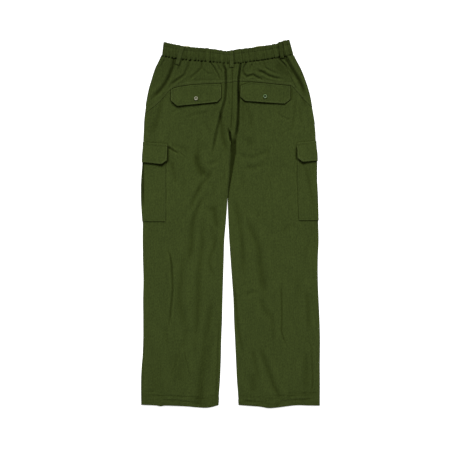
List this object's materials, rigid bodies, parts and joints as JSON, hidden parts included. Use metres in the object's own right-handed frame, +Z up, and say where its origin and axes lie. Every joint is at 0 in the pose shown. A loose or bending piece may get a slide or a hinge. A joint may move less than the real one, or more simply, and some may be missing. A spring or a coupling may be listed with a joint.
{
  "type": "cargo trousers",
  "caption": "Cargo trousers with an elastic back waist, flap pockets and cargo pockets, laid flat with the back up.",
  "frame": {"origin": "middle of the footprint's bounding box, on the surface that the trousers lie on", "axes": "+X to the wearer's right, +Y from the hems to the waist, +Z up, out of the back of the trousers"},
  "size_m": [0.5183, 1.0658, 0.0181],
  "materials": {
    "olive_twill": "matt cotton twill",
    "pocket_twill": "matt cotton twill",
    "cream_tape": "matt woven tape",
    "resin_button": "satin resin"
  },
  "bodies": {
    "root": {"back_leg_left": "olive_twill", "back_leg_right": "olive_twill", "front_leg_left": "olive_twill", "front_leg_right": "olive_twill", "back_yoke_left": "olive_twill", "back_yoke_right": "olive_twill", "cargo_pocket_left": "olive_twill", "cargo_pocket_right": "olive_twill", "cargo_flap_left": "olive_twill", "cargo_flap_right": "olive_twill", "back_flap_left": "olive_twill", "back_flap_right": "olive_twill", "front_pocket_facing_left": "pocket_twill", "front_pocket_facing_right": "pocket_twill", "back_welt_left": "pocket_twill", "back_welt_right": "pocket_twill", "back_button_left": "resin_button", "back_button_right": "resin_button", "waistband_back": "olive_twill", "waistband_front": "olive_twill", "waistband_facing": "cream_tape", "belt_loop_back_left": "olive_twill", "belt_loop_back_centre": "olive_twill", "belt_loop_back_right": "olive_twill", "belt_loop_front_left": "olive_twill", "belt_loop_front_right": "olive_twill", "fly_placket": "olive_twill", "waist_button": "resin_button"}
  },
  "joints": []
}
